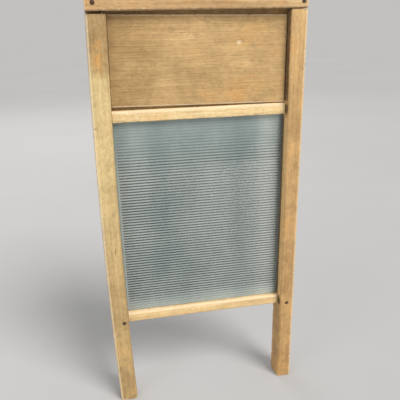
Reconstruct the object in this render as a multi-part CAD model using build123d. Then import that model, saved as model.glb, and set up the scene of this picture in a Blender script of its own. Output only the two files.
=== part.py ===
"""Pail-size washboard: a grooved and nailed wooden frame round a ribbed glass rubbing plate.

Millimetres. +Z is up, the rubbing side faces -Y and +X is on the right of a person facing it.
The origin is at the bottom centre of the whole board's box.

How it goes together: both stiles have a groove down their inner faces. The bottom rail is tenoned
into the foot of that groove. The glass, the middle rail and the splash panel slide down it from the
top, one on another, and the grooved cap closes it over a tongue on each stile.
"""
from build123d import *
import os
from math import cos, radians, sin, sqrt

# ---------------------------------------------------------------- driving sizes
# Frame
CAP_LENGTH = 217.5            # outside to outside, at the top
FRAME_DEPTH = 24.0            # front face to back face of the stiles and the cap
CAP_UNDERSIDE = 444.9         # height of the cap's underside above the floor
CAP_HEIGHT = 16.0
LEFT_STILE_WIDTH = 19.7
RIGHT_STILE_WIDTH = 18.1
LEFT_BOW = 3.8                # how far the left stile bends outwards at half its height
LEFT_SHOULDER_GAP = 2.2       # open joint between the left stile's shoulder and the cap
RIGHT_SHOULDER_GAP = 0.5

# Rails
RAIL_HEIGHT = 12.2
RAIL_DEPTH = 16.4             # the rails' backs are flush with the stiles' backs
MIDDLE_RAIL_UNDERSIDE = 339.7
BOTTOM_RAIL_UNDERSIDE = 105.9
SHOULDER_PLAY = 0.1           # between a rail's shoulder and the stile

# Glass
GLASS_THICKNESS = 5.0         # over the crests of the ribs, and at the plain margin
GLASS_FACE_PLAY = 0.6         # the grooves are this much wider than the glass
GLASS_SIDE_PLAY = 2.0         # free space beside the plate in each stile's groove
GLASS_TOP_PLAY = 1.0          # free space above the plate in the middle rail's groove
GLASS_MARGIN = 5.0            # least width of the plain margin round the ribs
RIB_PITCH = 3.175
RIB_DEPTH = 0.6               # crest to valley

# Grooves, all of one width and in one plane, with tongues and tenons that fit them
GROOVE_BACK_LIP = 5.4         # wood behind the groove
STILE_GROOVE_DEPTH = 6.0
RAIL_GROOVE_DEPTH = 4.0
CAP_GROOVE_DEPTH = 10.0
TONGUE_PLAY = 0.2             # a tongue or tenon is this much thinner than its groove
TONGUE_END_PLAY = 0.5         # left free past the end of a tongue or tenon
BOTTOM_TENON_LENGTH = 13.0

# Splash panel: a thick field with a thinner tongue all round
PANEL_RECESS = 9.0            # front face of the field, behind the stiles' front faces
PANEL_FACE_PLAY = 0.6         # the tongue is this much thinner than its groove
PANEL_SIDE_PLAY = 1.1         # between the field and each stile
PANEL_TILT = 0.9              # degrees; the panel has slipped down at its right end
PANEL_GAP_ABOVE = 3.6         # field to cap, at the higher corner
PANEL_GAP_BELOW = 0.4         # field to middle rail, at the lower corner
PANEL_SEAT_PLAY = 0.3         # tongue to the floor of the middle rail's groove
PANEL_SIDE_HOLD = 4.0         # how far the tongue reaches into each stile
PANEL_TOP_HOLD = 2.6          # least reach of the tongue into the cap

# Worn and eased edges
OUTER_EDGE_RADIUS = 2.0       # stiles, front outside
INNER_EDGE_RADIUS = 3.5       # stiles, front inside
BACK_EDGE_RADIUS = 1.0
FOOT_CHAMFER = 0.8
CAP_TOP_RADIUS = 4.0
CAP_END_RADIUS = 1.5
RAIL_EDGE_RADIUS = 2.5
PANEL_EDGE_RADIUS = 1.2

# Nails
NAIL_LENGTH = 19.0
NAIL_SHANK = 1.8              # diameter
NAIL_HEAD = 3.5               # diameter
NAIL_HEAD_THICKNESS = 0.9
NAIL_SINK = 0.4               # how far the heads lie below the wood
NAIL_PLAY = 0.05              # radial
LEFT_CAP_NAIL = (7.8, 7.5)    # from the cap's end, above the cap's underside
RIGHT_CAP_NAIL = (5.3, 6.5)
LEFT_RAIL_NAIL = (5.4, 3.4)   # from the stile's inner face, above the bottom rail's underside
RIGHT_RAIL_NAIL = (9.0, 3.4)

# ---------------------------------------------------------------- places worked out from them
FRONT = -FRAME_DEPTH / 2
BACK = FRAME_DEPTH / 2
RIGHT_OUTER = (CAP_LENGTH + LEFT_BOW) / 2            # the bow shifts the box's centre
LEFT_END = RIGHT_OUTER - CAP_LENGTH                  # left stile's outer face at foot and top
RIGHT_INNER = RIGHT_OUTER - RIGHT_STILE_WIDTH

GROOVE_WIDTH = GLASS_THICKNESS + GLASS_FACE_PLAY
GROOVE_BACK = BACK - GROOVE_BACK_LIP
GROOVE_FRONT = GROOVE_BACK - GROOVE_WIDTH
GROOVE_MIDDLE = (GROOVE_FRONT + GROOVE_BACK) / 2
GROOVE = (GROOVE_FRONT, GROOVE_BACK)                 # every groove and mortise, front to back
TONGUE = (GROOVE_FRONT + TONGUE_PLAY / 2, GROOVE_BACK - TONGUE_PLAY / 2)

BOTTOM_RAIL_TOP = BOTTOM_RAIL_UNDERSIDE + RAIL_HEIGHT
MIDDLE_RAIL_TOP = MIDDLE_RAIL_UNDERSIDE + RAIL_HEIGHT
GLASS_FOOT = BOTTOM_RAIL_TOP - RAIL_GROOVE_DEPTH
GLASS_TOP = MIDDLE_RAIL_UNDERSIDE + RAIL_GROOVE_DEPTH - GLASS_TOP_PLAY
CAP_GROOVE_TOP = CAP_UNDERSIDE + CAP_GROOVE_DEPTH
PAST = 1.0                                           # how far a cutter runs past an open side


def bow_at(z):
    """Outward shift of the left stile at height z: a circular arc from the floor to the cap."""
    half = CAP_UNDERSIDE / 2
    radius = (half ** 2 + LEFT_BOW ** 2) / (2 * LEFT_BOW)
    return LEFT_BOW - radius + sqrt(radius ** 2 - (z - half) ** 2)


def left_inner(z_low, z_high):
    """The left stile's inner face where it stands furthest in between two heights."""
    return LEFT_END + LEFT_STILE_WIDTH - min(bow_at(z_low), bow_at(z_high))


def block(x_low, x_high, y_low, y_high, z_low, z_high):
    """A box between two corners."""
    size = (x_high - x_low, y_high - y_low, z_high - z_low)
    centre = ((x_low + x_high) / 2, (y_low + y_high) / 2, (z_low + z_high) / 2)
    return Pos(*centre) * Box(*size)


def bowed_side(x, z_low, z_high):
    """An upright line of the left stile, which lies at x where the stile isn't bowed."""
    z_mid = (z_low + z_high) / 2
    return ThreePointArc(*[(x - bow_at(z), 0, z) for z in (z_low, z_mid, z_high)])


def bowed_block(x_low, x_high, y_low, y_high, z_low, z_high):
    """A block whose two upright sides follow the left stile's bow."""
    near = bowed_side(x_low, z_low, z_high)
    far = bowed_side(x_high, z_low, z_high)
    outline = Wire([near, far, Line(near @ 0, far @ 0), Line(near @ 1, far @ 1)])
    front = Pos(0, y_low, 0) * Face(outline)
    return extrude(front, amount=y_high - y_low, dir=(0, 1, 0))


def edges_at(solid, x_mid, y, z_low, z_high, reach=6.0):
    """The upright edges of a solid at depth y that pass within reach of x_mid."""
    def wanted(edge):
        box = edge.bounding_box()
        middle = edge @ 0.5
        tall = box.size.Z > 0.8 * (z_high - z_low)
        return tall and abs(middle.Y - y) < 0.01 and abs(middle.X - x_mid) < reach
    return solid.edges().filter_by(wanted)


# ---------------------------------------------------------------- nails
def nail(head_centre):
    """A wire nail driven towards +Y, its flat head centred on head_centre."""
    along = Pos(*head_centre) * Rot(-90, 0, 0)
    up = (Align.CENTER, Align.CENTER, Align.MIN)
    head = Cylinder(NAIL_HEAD / 2, NAIL_HEAD_THICKNESS, align=up)
    straight = NAIL_LENGTH - NAIL_SHANK
    shank = Cylinder(NAIL_SHANK / 2, straight, align=up)
    point = Cone(NAIL_SHANK / 2, NAIL_SHANK / 8, NAIL_SHANK, align=up)
    return along * (head + shank + Pos(0, 0, straight) * point)


def nail_hole(head_centre):
    """The hole that a nail fills: open at the wood's face, a little wider and deeper than the nail."""
    along = Pos(head_centre[0], FRONT - PAST, head_centre[2]) * Rot(-90, 0, 0)
    up = (Align.CENTER, Align.CENTER, Align.MIN)
    head_end = PAST + NAIL_SINK + NAIL_HEAD_THICKNESS + NAIL_PLAY
    shank_end = PAST + NAIL_SINK + NAIL_LENGTH + NAIL_PLAY
    return along * (Cylinder(NAIL_HEAD / 2 + NAIL_PLAY, head_end, align=up)
                    + Cylinder(NAIL_SHANK / 2 + NAIL_PLAY, shank_end, align=up))


def cap_nail_places():
    head_y = FRONT + NAIL_SINK
    left_in, left_up = LEFT_CAP_NAIL
    right_in, right_up = RIGHT_CAP_NAIL
    return [(LEFT_END + left_in, head_y, CAP_UNDERSIDE + left_up),
            (RIGHT_OUTER - right_in, head_y, CAP_UNDERSIDE + right_up)]


def rail_nail_places():
    head_y = FRONT + NAIL_SINK
    left_in, left_up = LEFT_RAIL_NAIL
    right_in, right_up = RIGHT_RAIL_NAIL
    left_z = BOTTOM_RAIL_UNDERSIDE + left_up
    return [(left_inner(left_z, left_z) - left_in, head_y, left_z),
            (RIGHT_INNER + right_in, head_y, BOTTOM_RAIL_UNDERSIDE + right_up)]


# ---------------------------------------------------------------- frame
def eased_stile(body, outer_x, inner_x, bow, top):
    """Round the stile's four long edges and chamfer round its foot."""
    outer_x -= bow
    inner_x -= bow
    body = fillet(edges_at(body, outer_x, FRONT, 0, top), OUTER_EDGE_RADIUS)
    body = fillet(edges_at(body, inner_x, FRONT, 0, top), INNER_EDGE_RADIUS)
    body = fillet(edges_at(body, outer_x, BACK, 0, top), BACK_EDGE_RADIUS)
    body = fillet(edges_at(body, inner_x, BACK, 0, top), BACK_EDGE_RADIUS)
    return chamfer(body.faces().sort_by(Axis.Z)[0].edges(), FOOT_CHAMFER)


def stile_tongue(x_low, x_high, shoulder):
    """The tongue on a stile's top that fits the cap's groove."""
    return block(x_low, x_high, *TONGUE, shoulder - PAST, CAP_GROOVE_TOP - TONGUE_END_PLAY)


def left_stile():
    shoulder = CAP_UNDERSIDE - LEFT_SHOULDER_GAP
    inner = LEFT_END + LEFT_STILE_WIDTH
    groove_floor = inner - STILE_GROOVE_DEPTH
    body = bowed_block(LEFT_END, inner, FRONT, BACK, 0, shoulder)
    body = eased_stile(body, LEFT_END, inner, bow_at(shoulder / 2), shoulder)
    body -= bowed_block(groove_floor, inner + PAST, *GROOVE, BOTTOM_RAIL_UNDERSIDE, CAP_UNDERSIDE)
    mortise_end = left_inner(BOTTOM_RAIL_UNDERSIDE, GLASS_FOOT) - BOTTOM_TENON_LENGTH - TONGUE_END_PLAY
    body -= block(mortise_end, groove_floor, *GROOVE, BOTTOM_RAIL_UNDERSIDE, GLASS_FOOT)
    body += stile_tongue(LEFT_END + TONGUE_END_PLAY, groove_floor - bow_at(shoulder), shoulder)
    return body - nail_hole(cap_nail_places()[0]) - nail_hole(rail_nail_places()[0])


def right_stile():
    shoulder = CAP_UNDERSIDE - RIGHT_SHOULDER_GAP
    groove_floor = RIGHT_INNER + STILE_GROOVE_DEPTH
    body = block(RIGHT_INNER, RIGHT_OUTER, FRONT, BACK, 0, shoulder)
    body = eased_stile(body, RIGHT_OUTER, RIGHT_INNER, 0, shoulder)
    body -= block(RIGHT_INNER - PAST, groove_floor, *GROOVE, BOTTOM_RAIL_UNDERSIDE, CAP_UNDERSIDE)
    mortise_end = RIGHT_INNER + BOTTOM_TENON_LENGTH + TONGUE_END_PLAY
    body -= block(groove_floor, mortise_end, *GROOVE, BOTTOM_RAIL_UNDERSIDE, GLASS_FOOT)
    body += stile_tongue(groove_floor, RIGHT_OUTER - TONGUE_END_PLAY, shoulder)
    return body - nail_hole(cap_nail_places()[1]) - nail_hole(rail_nail_places()[1])


def cap_rail():
    """The top rail, rounded above, with one groove along its whole underside."""
    cap = block(LEFT_END, RIGHT_OUTER, FRONT, BACK, CAP_UNDERSIDE, CAP_UNDERSIDE + CAP_HEIGHT)
    long_edges = cap.edges().filter_by(Axis.X).sort_by(Axis.Z)
    cap = fillet(long_edges[-2:], CAP_TOP_RADIUS)
    front_bottom = cap.edges().filter_by(Axis.X).group_by(Axis.Z)[0].sort_by(Axis.Y)[0]
    cap = fillet(front_bottom, OUTER_EDGE_RADIUS)
    end_faces = cap.faces().filter_by(Axis.X)
    cap = fillet([edge for face in end_faces for edge in face.edges()], CAP_END_RADIUS)
    cap -= block(LEFT_END - PAST, RIGHT_OUTER + PAST, *GROOVE, CAP_UNDERSIDE - PAST, CAP_GROOVE_TOP)
    for place in cap_nail_places():
        cap -= nail_hole(place)
    return cap


def rail(underside, tenon_length, groove_below):
    """A rail with a groove on top, and one below if asked, and a tenon in line with it at each end."""
    top = underside + RAIL_HEIGHT
    left = left_inner(underside, top) + SHOULDER_PLAY
    right = RIGHT_INNER - SHOULDER_PLAY
    body = block(left, right, BACK - RAIL_DEPTH, BACK, underside, top)
    front_edges = body.edges().filter_by(Axis.X).group_by(Axis.Y)[0]
    body = fillet(front_edges, RAIL_EDGE_RADIUS)
    grooves = [(top - RAIL_GROOVE_DEPTH, top + PAST)]
    tenon_low = underside
    if groove_below:
        tenon_low = underside + RAIL_GROOVE_DEPTH
        grooves.append((underside - PAST, tenon_low))
    for z_low, z_high in grooves:
        body -= block(left - PAST, right + PAST, *GROOVE, z_low, z_high)
    tenon_left = left - SHOULDER_PLAY - tenon_length
    tenon_right = right + SHOULDER_PLAY + tenon_length
    return body + block(tenon_left, tenon_right, *TONGUE, tenon_low, top - RAIL_GROOVE_DEPTH)


def middle_rail():
    return rail(MIDDLE_RAIL_UNDERSIDE, STILE_GROOVE_DEPTH - TONGUE_END_PLAY, True)


def bottom_rail():
    body = rail(BOTTOM_RAIL_UNDERSIDE, BOTTOM_TENON_LENGTH, False)
    for place in rail_nail_places():
        body -= nail_hole(place)
    return body


# ---------------------------------------------------------------- panel and glass
def upper_panel():
    """The splash panel: tongue and field in one board, tilted in its own plane."""
    left = left_inner(MIDDLE_RAIL_TOP, CAP_UNDERSIDE) + PANEL_SIDE_PLAY
    right = RIGHT_INNER - PANEL_SIDE_PLAY
    width = right - left
    drop = width * sin(radians(PANEL_TILT))
    opening = CAP_UNDERSIDE - MIDDLE_RAIL_TOP
    height = (opening - PANEL_GAP_ABOVE - PANEL_GAP_BELOW - drop) / cos(radians(PANEL_TILT))
    low, high = -height / 2, height / 2
    tongue_thickness = GROOVE_WIDTH - PANEL_FACE_PLAY
    back = GROOVE_MIDDLE + tongue_thickness / 2
    side = width / 2 + PANEL_SIDE_PLAY + PANEL_SIDE_HOLD
    tongue_low = low - PANEL_GAP_BELOW - RAIL_GROOVE_DEPTH + PANEL_SEAT_PLAY
    tongue_high = high + PANEL_GAP_ABOVE + drop + PANEL_TOP_HOLD
    field = block(-width / 2, width / 2, FRONT + PANEL_RECESS, back, low, high)
    front_face = field.faces().sort_by(Axis.Y)[0]
    field = fillet(front_face.edges(), PANEL_EDGE_RADIUS)
    tongue = block(-side, side, back - tongue_thickness, back, tongue_low, tongue_high)
    centre_z = MIDDLE_RAIL_TOP + PANEL_GAP_BELOW + (drop + height * cos(radians(PANEL_TILT))) / 2
    return Pos((left + right) / 2, 0, centre_z) * Rot(0, PANEL_TILT, 0) * (field + tongue)


def ribbed_section(z_low, z_high, count):
    """Upright section of the glass through its ribs: one arc for each rib on both faces."""
    half = GLASS_THICKNESS / 2
    valley = half - RIB_DEPTH
    first = (z_low + z_high - count * RIB_PITCH) / 2
    lines = []
    for side in (-1, 1):
        for index in range(count):
            z = first + index * RIB_PITCH
            crest = (0, side * half, z + RIB_PITCH / 2)
            lines.append(ThreePointArc((0, side * valley, z), crest, (0, side * valley, z + RIB_PITCH)))
    last = first + count * RIB_PITCH
    for z in (first, last):
        lines.append(Line((0, -valley, z), (0, valley, z)))
    return Face(Wire(lines)), first, last


def rubbing_plate():
    """A pressed glass plate: a plain margin all round, and ribs on both faces inside it."""
    left = left_inner(GLASS_FOOT, GLASS_TOP) - STILE_GROOVE_DEPTH + GLASS_SIDE_PLAY
    right = RIGHT_INNER + STILE_GROOVE_DEPTH - GLASS_SIDE_PLAY
    half = GLASS_THICKNESS / 2
    count = int((GLASS_TOP - GLASS_FOOT - 2 * GLASS_MARGIN) / RIB_PITCH)
    section, ribs_low, ribs_high = ribbed_section(GLASS_FOOT, GLASS_TOP, count)
    ribs_left, ribs_right = left + GLASS_MARGIN, right - GLASS_MARGIN
    plate = Pos(ribs_left, 0, 0) * extrude(section, amount=ribs_right - ribs_left, dir=(1, 0, 0))
    plate += block(left, ribs_left, -half, half, GLASS_FOOT, GLASS_TOP)
    plate += block(ribs_right, right, -half, half, GLASS_FOOT, GLASS_TOP)
    plate += block(ribs_left, ribs_right, -half, half, GLASS_FOOT, ribs_low)
    plate += block(ribs_left, ribs_right, -half, half, ribs_high, GLASS_TOP)
    return Pos(0, GROOVE_MIDDLE, 0) * plate


# ---------------------------------------------------------------- write one file for each node
def main():
    os.makedirs("parts", exist_ok=True)
    nodes = {
        "left_stile": left_stile(),
        "right_stile": right_stile(),
        "cap_rail": cap_rail(),
        "upper_panel": upper_panel(),
        "middle_rail": middle_rail(),
        "rubbing_plate": rubbing_plate(),
        "bottom_rail": bottom_rail(),
        "cap_nails": Compound([nail(place) for place in cap_nail_places()]),
        "bottom_rail_nails": Compound([nail(place) for place in rail_nail_places()]),
    }
    for name, shape in nodes.items():
        export_step(shape, f"parts/{name}.step")


main()
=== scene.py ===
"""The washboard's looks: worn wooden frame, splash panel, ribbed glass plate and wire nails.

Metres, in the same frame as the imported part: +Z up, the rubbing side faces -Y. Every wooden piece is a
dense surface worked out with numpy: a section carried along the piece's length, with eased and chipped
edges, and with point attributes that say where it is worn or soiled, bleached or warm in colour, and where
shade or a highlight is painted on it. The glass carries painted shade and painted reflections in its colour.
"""
import bmesh
import bpy
import numpy as np
from math import cos, pi, radians, sin
from mathutils import Matrix, Vector


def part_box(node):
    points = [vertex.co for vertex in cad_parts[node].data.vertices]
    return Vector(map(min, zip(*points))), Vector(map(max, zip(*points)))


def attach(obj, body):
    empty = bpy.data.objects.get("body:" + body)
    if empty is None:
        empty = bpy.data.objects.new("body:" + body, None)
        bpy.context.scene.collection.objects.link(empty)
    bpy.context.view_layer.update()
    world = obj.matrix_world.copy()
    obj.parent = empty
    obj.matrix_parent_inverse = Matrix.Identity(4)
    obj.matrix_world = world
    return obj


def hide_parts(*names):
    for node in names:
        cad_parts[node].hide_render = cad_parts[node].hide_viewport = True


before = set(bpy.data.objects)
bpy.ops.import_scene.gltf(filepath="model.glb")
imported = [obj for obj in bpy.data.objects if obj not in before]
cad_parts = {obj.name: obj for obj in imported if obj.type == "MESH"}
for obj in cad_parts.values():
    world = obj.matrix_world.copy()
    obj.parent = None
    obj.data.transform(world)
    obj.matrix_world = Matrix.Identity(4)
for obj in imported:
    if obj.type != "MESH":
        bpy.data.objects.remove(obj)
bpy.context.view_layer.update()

MM = 0.001

# ---------------------------------------------------------------- sizes of the design
BOW = 3.8 * MM                       # outward bend of the left stile at half its height
LEFT_WIDTH = 19.7 * MM
RIGHT_WIDTH = 18.1 * MM
LEFT_SHOULDER_GAP = 2.2 * MM
RIGHT_SHOULDER_GAP = 0.5 * MM
STILE_GROOVE_DEPTH = 6.0 * MM
RAIL_GROOVE_DEPTH = 4.0 * MM
CAP_GROOVE_DEPTH = 10.0 * MM
MORTISE_DEPTH = 13.5 * MM            # takes the bottom rail's tenon
TONGUE_END_PLAY = 0.5 * MM
FACE_PLAY = 0.3 * MM                 # glass to the side of its groove
TONGUE_PLAY = 0.1 * MM               # tongue or tenon to the side of its groove
SHOULDER_PLAY = 0.1 * MM
PANEL_TILT = radians(0.9)
PANEL_SIDE_HOLD = 5.1 * MM           # tongue beyond the panel's thick field, at each side
PANEL_THICKNESS = 9.3 * MM
PANEL_TOP_HOLD = 8.988 * MM          # tongue above and below the field
PANEL_LOW_HOLD = 4.1 * MM
PANEL_SIDE_PLAY = 1.1 * MM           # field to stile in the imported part
PANEL_SLIP = 0.9 * MM                # the loose panel rests against the left stile
PANEL_RISE = 1.6 * MM                # the field's top edge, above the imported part's
PANEL_EDGE_GAP = 0.4 * MM            # the field's sides to the stiles
LEFT_TONGUE_REACH = 1.6 * MM         # left stile's tongue past its groove's floor
RIB_PITCH = 3.175 * MM
RIB_DEPTH = 0.6 * MM
RIB_COUNT = 68
RIB_POINTS = 8                       # mesh steps up each rib
NAIL_SINK = 0.4 * MM
OUTER_RADIUS = 2.0 * MM              # stiles' and cap's front outer edges
INNER_RADIUS = 3.5 * MM              # stiles' front inner edges
BACK_RADIUS = 1.0 * MM
CAP_TOP_RADIUS = 4.0 * MM
RAIL_TOP_RADIUS = 2.5 * MM
RAIL_LOW_RADIUS = 1.4 * MM
PANEL_RADIUS = 1.2 * MM
FOOT_RADIUS = 1.3 * MM
CAP_END_RADIUS = 1.5 * MM
TICK_PITCH = 2.6 * MM                # saw ticks on the left stile
EDGE_FADE = 2.5 * MM                 # an edge's wear dies away over this distance
HAIR = 1e-9                          # slack when places are compared


def box_of(node):
    """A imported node's lowest and highest corners, as arrays."""
    low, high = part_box(node)
    return np.array(low), np.array(high)


CAP_LOW, CAP_HIGH = box_of("cap_rail")
MIDDLE_LOW, MIDDLE_HIGH = box_of("middle_rail")
BOTTOM_LOW, BOTTOM_HIGH = box_of("bottom_rail")
GLASS_LOW, GLASS_HIGH = box_of("rubbing_plate")
PANEL_LOW, PANEL_HIGH = box_of("upper_panel")

FRONT, BACK = CAP_LOW[1], CAP_HIGH[1]
LEFT_END, RIGHT_END = CAP_LOW[0], CAP_HIGH[0]
RIGHT_INNER = RIGHT_END - RIGHT_WIDTH
CAP_UNDERSIDE = CAP_LOW[2]
GROOVE_FRONT = GLASS_LOW[1] - FACE_PLAY
GROOVE_BACK = GLASS_HIGH[1] + FACE_PLAY
TONGUE_FRONT = GROOVE_FRONT + TONGUE_PLAY
TONGUE_BACK = GROOVE_BACK - TONGUE_PLAY
RAIL_FRONT = MIDDLE_LOW[1]
BOTTOM_GROOVE_FLOOR = BOTTOM_HIGH[2] - RAIL_GROOVE_DEPTH


def bow_at(z):
    """Outward shift of the left stile at height z: a circular arc from the floor to the cap."""
    half = CAP_UNDERSIDE / 2
    radius = (half ** 2 + BOW ** 2) / (2 * BOW)
    return BOW - radius + np.sqrt(radius ** 2 - (np.minimum(z, CAP_UNDERSIDE) - half) ** 2)


def left_inner(z):
    """The left stile's inner face at height z."""
    return LEFT_END + LEFT_WIDTH - bow_at(z)


# The splash panel's field, before it is tilted: its size, and its middle as x and z
PANEL_SPAN = RIGHT_INNER - float(left_inner(CAP_UNDERSIDE))
PANEL_WIDTH = PANEL_SPAN - 2 * PANEL_SIDE_PLAY
PANEL_HEIGHT = ((PANEL_HIGH[2] - PANEL_LOW[2] - (PANEL_WIDTH + 2 * PANEL_SIDE_HOLD) * sin(PANEL_TILT))
                / cos(PANEL_TILT) - PANEL_TOP_HOLD - PANEL_LOW_HOLD)
PANEL_MIDDLE = ((float(left_inner(CAP_UNDERSIDE)) + RIGHT_INNER) / 2 - PANEL_SLIP,
                (PANEL_LOW[2] + PANEL_HIGH[2]) / 2 - (PANEL_TOP_HOLD - PANEL_LOW_HOLD) / 2 * cos(PANEL_TILT))

# Nail head centres: x and z
CAP_NAILS = [(LEFT_END + 7.8 * MM, CAP_UNDERSIDE + 7.5 * MM),
             (RIGHT_END - 5.3 * MM, CAP_UNDERSIDE + 6.5 * MM)]
NAIL_HEIGHT = BOTTOM_LOW[2] + 3.4 * MM
RAIL_NAILS = [(float(left_inner(NAIL_HEIGHT)) - 5.4 * MM, NAIL_HEIGHT),
              (RIGHT_INNER + 9.0 * MM, NAIL_HEIGHT)]


# ---------------------------------------------------------------- values that vary smoothly
def smooth(t):
    """Eases 0..1 in and out: 3t^2 - 2t^3 of t clamped to 0..1."""
    t = np.clip(t, 0, 1)
    return t * t * (3 - 2 * t)


def lattice_noise(points, cell, seed):
    """Smooth noise from 0 to 1: random values on a lattice of that cell, eased between its corners."""
    size = 24
    table = np.random.default_rng(seed).random((size, size, size))
    place = points / np.broadcast_to(np.asarray(cell, float), (3,))
    low = np.floor(place).astype(int)
    part = smooth(place - low)
    total = 0
    for corner in np.ndindex(2, 2, 2):
        weight = np.prod(np.where(corner, part, 1 - part), axis=-1)
        index = (low + corner) % size
        total = total + weight * table[index[..., 0], index[..., 1], index[..., 2]]
    return total


def layered_noise(points, cell, seed, layers=3):
    """Lattice noise at one cell size and at halves of it, each half as strong."""
    total, weight = 0, 0
    for layer in range(layers):
        share = 0.5 ** layer
        total = total + share * lattice_noise(points, np.asarray(cell) * share, seed + layer)
        weight += share
    return total / weight


def spot(points, centre, radius):
    """1 at centre, eased to 0 where the distance over radius is 1; radius is one size or one per axis."""
    away = np.linalg.norm((points - np.asarray(centre)) / np.asarray(radius), axis=-1)
    return smooth(1 - away)


def near(values, place, reach):
    """1 where values are at place, falling smoothly to 0 at reach."""
    return smooth(1 - np.abs(values - place) / reach)


# ---------------------------------------------------------------- sections and surfaces
def section(corners):
    """A closed outline through eased corners: straight sides joined by arcs.

    Each corner is (across, depth, radius, step, rub): step is the spacing of the points on the side that
    follows it, and rub says how worn that edge is. Returns points (n, 2) and, for each, the rub of the
    edge that it is on or near, dying away with the square of 1 - distance / EDGE_FADE.
    """
    corners = np.asarray(corners, float)
    points, edge = [], []
    count = len(corners)
    for index in range(count):
        here, (radius, step, rub) = corners[index, :2], corners[index, 2:]
        goal = corners[(index + 1) % count]
        before = corners[index - 1, :2] - here
        after = goal[:2] - here
        before = before / np.linalg.norm(before)
        after = after / np.linalg.norm(after)
        turn = np.linspace(0, pi / 2, 7 if radius > 0.5 * MM else 3 if radius else 1)[:, None]
        arc = here + radius * (before * (1 - np.sin(turn)) + after * (1 - np.cos(turn)))
        points.append(arc)
        edge.append(np.full(len(arc), rub))
        start, stop = here + after * radius, goal[:2] - after * goal[2]
        length = np.linalg.norm(stop - start)
        t = np.linspace(0, 1, max(int(length / step), 1) + 1)[1:-1, None]
        points.append(start + (stop - start) * t)
        here_fade, goal_fade = (np.clip(1 - way[:, 0] * length / EDGE_FADE, 0, 1) ** 2 for way in (t, 1 - t))
        edge.append(np.maximum(rub * here_fade, goal[4] * goal_fade))
    return np.concatenate(points), np.concatenate(edge)


def outward(loop):
    """Outward directions of closed outlines (..., n, 2): from neighbour to neighbour, turned by 90."""
    ahead = np.roll(loop, -1, -2) - np.roll(loop, 1, -2)
    ahead = ahead / np.maximum(np.linalg.norm(ahead, axis=-1, keepdims=True), 1e-9)
    x, y = loop[..., 0], loop[..., 1]
    area = np.sum(x * np.roll(y, -1, -1) - np.roll(x, -1, -1) * y, -1)
    return np.stack([ahead[..., 1], -ahead[..., 0]], -1) * np.sign(area)[..., None, None]


def places(low, high, step, marks=(), close=(), reach=4.0 * MM, fine=0.4 * MM):
    """Even places from low to high, a pair at each mark where the section changes, finer about close ones.

    The pair lies 0.01 mm either side of the mark, so that a step in the section stays a step.
    """
    parts = [np.linspace(low, high, max(int((high - low) / step), 2) + 1)]
    parts += [np.array([mark - 0.01 * MM, mark + 0.01 * MM]) for mark in marks]
    parts += [np.arange(place - reach, place + reach, fine) for place in close]
    found = np.unique(np.concatenate(parts))
    return found[(found >= low) & (found <= high)]


def end_ring_insets(radius, steps=5):
    """Distances from an end and the insets that go with them, along a quarter circle of that radius."""
    turn = np.linspace(0, pi / 2, steps + 1)
    return radius * (1 - np.cos(turn)), radius * (1 - np.sin(turn))


def put(name, data):
    """A new object in the scene, of that mesh, lamp or camera."""
    made = bpy.data.objects.new(name, data)
    bpy.context.scene.collection.objects.link(made)
    return made


def ring_quads(rows, columns):
    """The quads between closed rings of points, as indices: each ring's points joined to the next ring's."""
    row = np.arange(rows - 1)[:, None] * columns
    column = np.arange(columns)[None, :]
    beside = (column + 1) % columns
    quads = np.stack([row + column, row + beside, row + columns + beside, row + columns + column], -1)
    return quads.reshape(-1, 4)


def finish_mesh(name, points, faces, attributes, sharp=38):
    """One closed mesh object: doubles merged, faces outwards, attributes on its points."""
    mesh = bpy.data.meshes.new(name)
    mesh.from_pydata(points.reshape(-1, 3).tolist(), [], faces)
    for key, values in attributes.items():
        layer = mesh.attributes.new(key, "FLOAT", "POINT")
        layer.data.foreach_set("value", np.ascontiguousarray(values, np.float32).ravel())
    work = bmesh.new()
    work.from_mesh(mesh)
    bmesh.ops.remove_doubles(work, verts=work.verts, dist=0.003 * MM)
    bmesh.ops.dissolve_degenerate(work, edges=work.edges, dist=0.002 * MM)
    bmesh.ops.recalc_face_normals(work, faces=work.faces)
    work.to_mesh(mesh)
    work.free()
    mesh.shade_smooth()
    mesh.set_sharp_from_angle(angle=radians(sharp))
    return put(name, mesh)


def carried(name, rings, attributes, sharp=38):
    """A closed surface from rings of points (rings, points, 3): quads between rings, both ends filled."""
    rows, columns = rings.shape[:2]
    faces = ring_quads(rows, columns).tolist()
    faces.append(list(range(columns))[::-1])
    faces.append(list(range((rows - 1) * columns, rows * columns)))
    return finish_mesh(name, rings, faces, attributes, sharp)


def wooden(name, points, edge, dirt_and_shade, tone, warm, before=0, after=0):
    """A carried surface with its four masks; their end rows are repeated for rings added before and after."""
    layers = {"edge": np.clip(edge, 0, 1), "dirt_and_shade": dirt_and_shade, "tone": tone, "warm": warm}
    return carried(name, points, {
        key: np.concatenate([values[:1]] * before + [values] + [values[-1:]] * after)
        for key, values in layers.items()})


def within(values, low, high):
    """Where values are from low to high, or a hair outside."""
    return (values > low - HAIR) & (values < high + HAIR)


def stands_for(piece, node, material):
    """piece takes the CAD node's place, body and material slot."""
    piece.data.materials.append(material)
    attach(piece, "root")
    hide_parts(node)
    return piece


def worn(points, normals, edge, skin, grain, seed, wear=0.35, chips=0.8):
    """Moves a wooden surface inwards only: planing waves, softened edges and chips out of them.

    Each point goes in by 0.16 of a slow wave, plus its edge value times wear and chips, in mm. grain is
    the noise cell, long along the wood's fibres.
    """
    waves = layered_noise(points, grain, seed)
    rub = layered_noise(points, np.asarray(grain) * 0.5, seed + 11)
    chip = smooth((layered_noise(points, (5 * MM, 5 * MM, 5 * MM), seed + 23) - 0.66) / 0.12)
    depth = skin * (0.16 * waves + edge * (wear * rub + chips * chip))
    return points - normals * depth[..., None] * MM, edge * chip


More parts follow.
